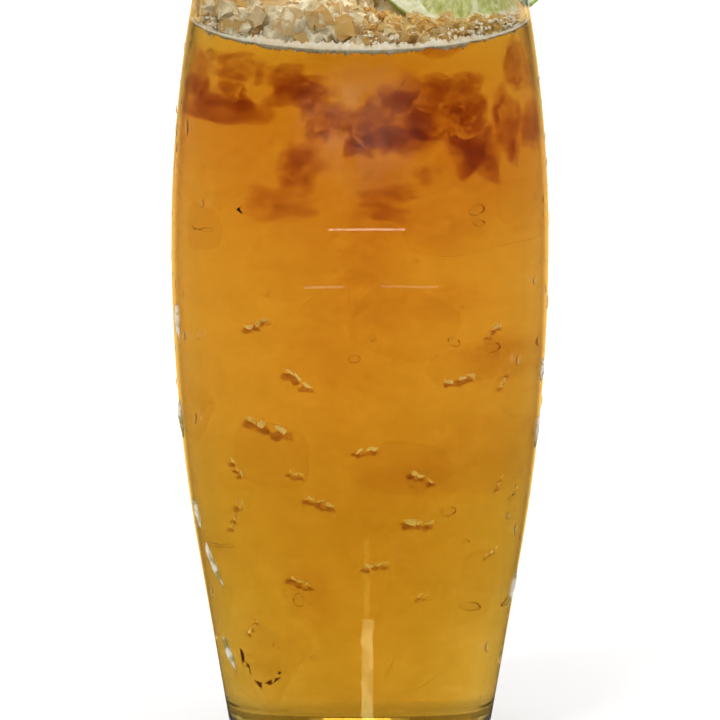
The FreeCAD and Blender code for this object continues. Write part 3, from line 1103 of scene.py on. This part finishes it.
class TEA_OT_sunk_ice(bpy.types.Operator):
    """Sink crushed ice in the tea"""

    bl_idname = "iced_tea.sunk_ice"
    bl_label = "Sunk Ice"

    def execute(self, context):
        settings = context.scene.tea_ice
        values = {
            "Count": settings.sunk_count,
            "Size": settings.sunk_size,
            "Low": TEA_LOW.z + 0.006,
            "High": LEVEL - 0.006,
            "Seed": settings.seed,
        }
        material = ice("sunk_ice", SUNK_INDEX, 0.0, ((0.96, 0.93, 0.86), (1.0, 1.0, 1.0)))
        mesh = grown("sunk_ice", ice_tree(0.15, 0.0007, False, 0.004), values)
        piece = finished("sunk_ice", mesh, material, False)
        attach(piece, "root")
        return {"FINISHED"}


class TEA_OT_painted_highlight_chips(bpy.types.Operator):
    """Set frosted pieces of ice that glow close behind the front of the glass as painted pale-gold
    highlights, each with a blob of dark tea under it as a painted shadow
    """

    bl_idname = "iced_tea.chips"
    bl_label = "Painted_Highlight_Chips"

    def execute(self, context):
        draw = np.random.default_rng(CHIP_SEED)
        # bright holds the painted highlights, dark holds their painted shadows.
        bright, dark = bmesh.new(), bmesh.new()
        for across, height, long, lean in PAINTED_HIGHLIGHT_AND_SHADOW_MARKS:
            along = (math.cos(lean), math.sin(lean))
            for part in range(3):
                step = long * (part - 1) / 3 + draw.uniform(-0.0003, 0.0003)
                up = draw.uniform(-0.0003, 0.0003)
                spot = (across + step * along[0], height + step * along[1] + up)
                size = long * draw.uniform(0.16, 0.26)
                shard(bright, seen_at(*spot, 0.0034), size, lean + draw.uniform(-0.4, 0.4), draw)
                # A blob of strong dark tea below each piece: a painted shadow.
                spot = (spot[0] - 0.0004, spot[1] - 0.0009)
                sizes = (size * 1.1, 0.0008, size * 0.55)
                blob(dark, seen_at(*spot, 0.0046), sizes, 0.9, part + 50 * across, 2)
        # Gold frosted colour and a glow on these pieces: painted pale-gold highlights.
        material = ice("painted_highlight_chips", TEA_INDEX, 0.4, ((0.85, 0.55, 0.1), (1.0, 0.78, 0.3)), clear=0.0)
        shader = material.node_tree.nodes["Principled BSDF"]
        plain(shader, emission_color=(1.0, 0.56, 0.1), emission_strength=0.34)
        painted_highlight_chips = finished("painted_highlight_chips", from_bmesh("painted_highlight_chips", bright), material, False)
        # The blobs' dark tea is painted shadow.
        material = swirl("chip_painted_shadows", (0.6, 0.34, 0.2), 900.0)
        sides = finished("chip_painted_shadows", from_bmesh("chip_painted_shadows", dark), material)
        for piece, slot in ((painted_highlight_chips, "ice"), (sides, "tea")):
            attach(piece, "root")
        return {"FINISHED"}


class TEA_OT_swirls(bpy.types.Operator):
    """Hang dark swirls of strong tea under the ice, and weak streaks through the drink"""

    bl_idname = "iced_tea.swirls"
    bl_label = "Swirls"

    def execute(self, context):
        shape = bmesh.new()
        draw = np.random.default_rng(SWIRL_SEED)
        for number, (across, height, wide, tall, deep) in enumerate(SWIRLS):
            for part in range(3):
                step = draw.normal(0, 0.5, 3) * (wide, tall, deep)
                depth = 0.003 + deep + 0.5 * abs(step[2])
                middle = seen_at(across + step[0], height + step[1], depth)
                share = draw.uniform(0.5, 0.95)
                sizes = (wide * share, deep * 0.7, tall * share)
                blob(shape, middle, sizes, 0.9, 3.7 * number + 19 * part, 3)
        draw = np.random.default_rng(BACK_SWIRL_SEED)
        for number in range(BACK_SWIRLS):
            turn, reach = draw.uniform(-0.5, math.pi + 0.5), draw.uniform(0.012, 0.027)
            middle = (reach * math.cos(turn), reach * math.sin(turn), draw.uniform(0.122, 0.142))
            sizes = draw.uniform((0.003, 0.003, 0.0022), (0.0048, 0.0048, 0.0042))
            blob(shape, middle, sizes, 0.8, 1.9 * number, 3)
        material = swirl("swirls", (0.68, 0.36, 0.2), 235.0)
        swirls = finished("swirls", from_bmesh("swirls", shape), material)
        shape = bmesh.new()
        draw = np.random.default_rng(STREAK_SEED)
        for number in range(STREAKS):
            turn, reach = draw.uniform(0, TURN), STREAK_REACH * math.sqrt(draw.uniform(0, 1))
            middle = (reach * math.cos(turn), reach * math.sin(turn), draw.uniform(0.022, 0.142))
            sizes = draw.uniform((0.004, 0.004, 0.003), (0.009, 0.009, 0.007))
            blob(shape, middle, sizes, 0.8, 2.9 * number, 3)
        material = swirl("streaks", (0.86, 0.72, 0.4), 38.0)
        streaks = finished("streaks", from_bmesh("streaks", shape), material)
        for piece in (streaks, swirls):
            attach(piece, "root")
        return {"FINISHED"}


class TEA_OT_top_ice(bpy.types.Operator):
    """Heap crushed ice on a packed core on the tea"""

    bl_idname = "iced_tea.top_ice"
    bl_label = "Top Ice"

    def execute(self, context):
        settings = context.scene.tea_ice
        core = finished("slush", slush_mesh(settings), slush())
        values = {
            "Count": settings.top_count,
            "Size": settings.top_size,
            "Low": LEVEL + 0.0002,
            "High": HEAP_HIGH.z - 0.0015,
            "Seed": settings.seed + TOP_ICE_STEP,
        }
        tints = ((0.92, 0.6, 0.2), (1.0, 0.9, 0.62))
        soaked = (0.8, 0.52, 0.07)
        material = ice("top_ice", 1.25, 0.12, tints, clear=0.55, frost=0.5, soaked=soaked)
        mesh = grown("top_ice", ice_tree(0.16, -0.00025, True, 0.0024), values)
        piece = finished("top_ice", mesh, material, False)
        for each in (core, piece):
            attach(each, "root")
        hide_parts("crushed_ice")
        return {"FINISHED"}


class TEA_OT_foam(bpy.types.Operator):
    """Ring the drink's edge with froth and small bubbles"""

    bl_idname = "iced_tea.foam"
    bl_label = "Bubbles"

    def execute(self, context):
        settings = context.scene.tea_foam
        values = {
            "Count": settings.bubble_count,
            "Size": settings.bubble_size,
            "Low": LEVEL - 0.0006,
            "High": LEVEL + 0.0020,
            "Seed": FOAM_SEED,
        }
        froth = finished("froth", froth_mesh(), foam())
        bubbles = finished("foam", grown("foam", bubble_tree(), values), froth.data.materials[0])
        for piece in (froth, bubbles):
            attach(piece, "root")
        return {"FINISHED"}


class TEA_OT_dew(bpy.types.Operator):
    """Bead cold water on the outside of the glass, and let it run down the sides"""

    bl_idname = "iced_tea.dew"
    bl_label = "Drops"

    def execute(self, context):
        settings = context.scene.tea_foam
        values = {
            "Count": settings.drop_count,
            "Size": settings.drop_size,
            "Low": 0.012,
            "High": LEVEL - 0.006,
            "Seed": DROP_SEED,
        }
        drops = finished("dew", grown("dew", drop_tree(), values), dew())
        shape = bmesh.new()
        for across, height, long, lean in RUNS:
            front = height + (EYE_HEIGHT - height) / EYE_AWAY * RUN_FORWARD
            radius = float(GLASS_WALL(front))
            turn = math.asin(max(-0.99, min(0.99, across / radius)))
            made = bmesh.ops.create_icosphere(shape, subdivisions=3, radius=1.0)["verts"]
            for vertex in made:
                side, out, up = vertex.co
                bumpy = 1 + 0.5 * noise_at(vertex.co * 1.7 + Vector((front * 900, 0, 0)))
                side, up = side * RUN_WIDE * bumpy, up * long * 0.5 * bumpy
                swing = turn + (side + up * math.sin(lean)) / radius
                tall = front + up * math.cos(lean)
                reach = float(GLASS_WALL(tall)) - 0.0001 + RUN_THICK * out * bumpy
                vertex.co = (reach * math.sin(swing), -reach * math.cos(swing), tall)
        runs = finished("runs", from_bmesh("runs", shape), painted_light_water())
        for piece in (drops, runs):
            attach(piece, "root")
        return {"FINISHED"}


class TEA_OT_lime(bpy.types.Operator):
    """Set the lime slice over the rim"""

    bl_idname = "iced_tea.lime"
    bl_label = "Lime Slice"

    def execute(self, context):
        settings = context.scene.tea_lime
        piece = finished("lime", lime_mesh(settings), lime_skin_and_flesh())
        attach(piece, "root")
        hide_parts("lime_slice")
        return {"FINISHED"}


class TEA_OT_stage(bpy.types.Operator):
    """Set the floor, the lights and the camera"""

    bl_idname = "iced_tea.stage"
    bl_label = "Stage"

    def execute(self, context):
        settings = context.scene.tea_stage
        scene = context.scene
        scene.view_settings.view_transform = "Standard"
        scene.cycles.max_bounces = scene.cycles.transmission_bounces = BOUNCES
        scene.world = studio_world(settings)
        bpy.ops.mesh.primitive_plane_add(size=6)
        floor = context.object
        floor.name = "floor"
        floor.location.z = -FLOOR_DROP
        floor.data.materials.append(studio_floor(settings))
        for name, place, size, power in LAMPS:
            lamp(name, place, size, power)
        for name, *spans in GLINTS:
            ribbon = finished(name, glint_mesh(*spans[:5]), glow(name, *spans[5:]))
            for kind in ("camera", "diffuse", "transmission", "shadow", "volume_scatter"):
                setattr(ribbon, "visible_" + kind, False)

        camera = bpy.data.objects.new("camera", bpy.data.cameras.new("camera"))
        scene.collection.objects.link(camera)
        camera.data.lens = settings.lens
        aim = Vector((0, 0, LEVEL))
        back = Vector((0, -math.cos(settings.elevation), math.sin(settings.elevation)))
        camera.location = aim + back * settings.distance
        middle = Vector((0, 0, LEVEL - AIM_DROP))
        camera.rotation_euler = (middle - camera.location).to_track_quat("-Z", "Y").to_euler()
        scene.camera = camera
        return {"FINISHED"}


LAMPS = [
    ("key_lamp", (-0.7, -0.8, 1.35), 0.9, 14.0),
    ("fill_lamp", (0.9, -0.4, 1.2), 0.9, 9.0),
    ("back_lamp", (0.1, 1.1, 1.2), 0.9, 8.0),
]

# Spots of painted pale-gold highlight, each with its painted shadow: across, height, length and
# lean.
PAINTED_HIGHLIGHT_AND_SHADOW_MARKS = [
    (-0.0200, 0.0868, 0.0050, 0.5),
    (-0.0120, 0.0752, 0.0060, -0.6),
    (-0.0182, 0.0655, 0.0095, -0.35),
    (-0.0240, 0.0570, 0.0040, -1.0),
    (-0.0125, 0.0555, 0.0035, -0.3),
    (-0.0078, 0.0498, 0.0062, -0.3),
    (-0.0246, 0.0468, 0.0056, 1.2),
    (0.0194, 0.0752, 0.0060, 0.2),
    (0.0284, 0.0752, 0.0040, 1.0),
    (0.0264, 0.0855, 0.0045, 0.8),
    (0.0120, 0.0550, 0.0050, -0.3),
    (0.0114, 0.0455, 0.0062, -0.1),
    (0.0276, 0.0540, 0.0030, 1.2),
    (0.0306, 0.0520, 0.0026, 0.9),
    (0.0260, 0.0395, 0.0026, 0.6),
    (0.0120, 0.0302, 0.0022, 0.0),
    (-0.0116, 0.0333, 0.0060, -0.5),
    (-0.0210, 0.0240, 0.0040, 0.9),
    (0.0012, 0.0605, 0.0045, 0.2),
    (0.0034, 0.0368, 0.0052, 0.2),
]

SWIRLS = [
    (-0.0205, 0.1350, 0.0040, 0.0035, 0.005),
    (-0.0316, 0.1345, 0.0025, 0.0045, 0.004),
    (-0.0240, 0.1380, 0.0065, 0.0026, 0.004),
    (-0.0080, 0.1300, 0.0050, 0.0050, 0.006),
    (-0.0092, 0.1200, 0.0050, 0.0045, 0.006),
    (0.0008, 0.1262, 0.0050, 0.0052, 0.009),
    (0.0070, 0.1430, 0.0070, 0.0014, 0.003),
    (0.0118, 0.1290, 0.0070, 0.0060, 0.009),
    (0.0180, 0.1345, 0.0060, 0.0034, 0.006),
    (-0.0120, 0.1360, 0.0060, 0.0030, 0.005),
    (0.0215, 0.1255, 0.0055, 0.0062, 0.009),
    (0.0138, 0.1160, 0.0026, 0.0022, 0.003),
    (0.0320, 0.1380, 0.0026, 0.0050, 0.005),
    (0.0306, 0.1262, 0.0036, 0.0066, 0.007),
    (0.0045, 0.1110, 0.0050, 0.0022, 0.003),
    (-0.0146, 0.1105, 0.0060, 0.0028, 0.003),
    (0.0332, 0.1440, 0.0012, 0.0050, 0.003),
]

RUNS = [
    (-0.0362, 0.0864, 0.0070, -0.15),
    (-0.0357, 0.0654, 0.0065, -0.2),
    (-0.0325, 0.0470, 0.0058, -0.3),
    (-0.0292, 0.0372, 0.0085, -0.55),
    (-0.0262, 0.0185, 0.0060, -0.4),
    (0.0352, 0.0625, 0.0062, 0.15),
    (0.0305, 0.0304, 0.0062, 0.25),
    (0.0362, 0.0760, 0.0040, 0.1),
]

GLINTS = [
    ("upper_glint", -0.0062, 0.0088, 0.1057, 0.1061, 0.25, 9.0, (1.0, 0.9, 0.75)),
    ("left_glint", -0.0108, -0.0030, 0.0952, 0.0955, 0.25, 3.0, (1.0, 0.9, 0.75)),
    ("right_glint", 0.0042, 0.0152, 0.0954, 0.0957, 0.25, 2.6, (1.0, 0.9, 0.75)),
    ("foot_glint", 0.0003, 0.0026, -0.0005, 0.0250, 0.016, 5.0, (1.0, 1.0, 0.4)),
    ("faint_glint", 0.0008, 0.0019, 0.0250, 0.0420, 0.03, 1.2, (1.0, 0.9, 0.2)),
]

OPERATORS = [
    TEA_OT_glass,
    TEA_OT_tea,
    TEA_OT_sunk_ice,
    TEA_OT_painted_highlight_chips,
    TEA_OT_swirls,
    TEA_OT_top_ice,
    TEA_OT_foam,
    TEA_OT_dew,
    TEA_OT_lime,
    TEA_OT_stage,
]


class TEA_PT_panel(bpy.types.Panel):
    """Makes the glass of iced tea piece by piece"""

    bl_label = "Glass of Iced Tea"
    bl_idname = "TEA_PT_panel"
    bl_space_type = "VIEW_3D"
    bl_region_type = "UI"
    bl_category = "Iced Tea"

    def draw(self, context):
        for name, group in SETTINGS.items():
            box = self.layout.box()
            for prop in group.__annotations__:
                box.prop(getattr(context.scene, name), prop)
        for operator in OPERATORS:
            self.layout.operator(operator.bl_idname)


CLASSES = [*SETTINGS.values(), *OPERATORS, TEA_PT_panel]


def register():
    for item in CLASSES:
        bpy.utils.register_class(item)
    for name, group in SETTINGS.items():
        setattr(bpy.types.Scene, name, bpy.props.PointerProperty(type=group))


def unregister():
    for name in SETTINGS:
        delattr(bpy.types.Scene, name)
    for item in reversed(CLASSES):
        bpy.utils.unregister_class(item)


def main():
    register()
    for operator in OPERATORS:
        group, name = operator.bl_idname.split(".")
        getattr(getattr(bpy.ops, group), name)()


if __name__ == "__main__":
    main()
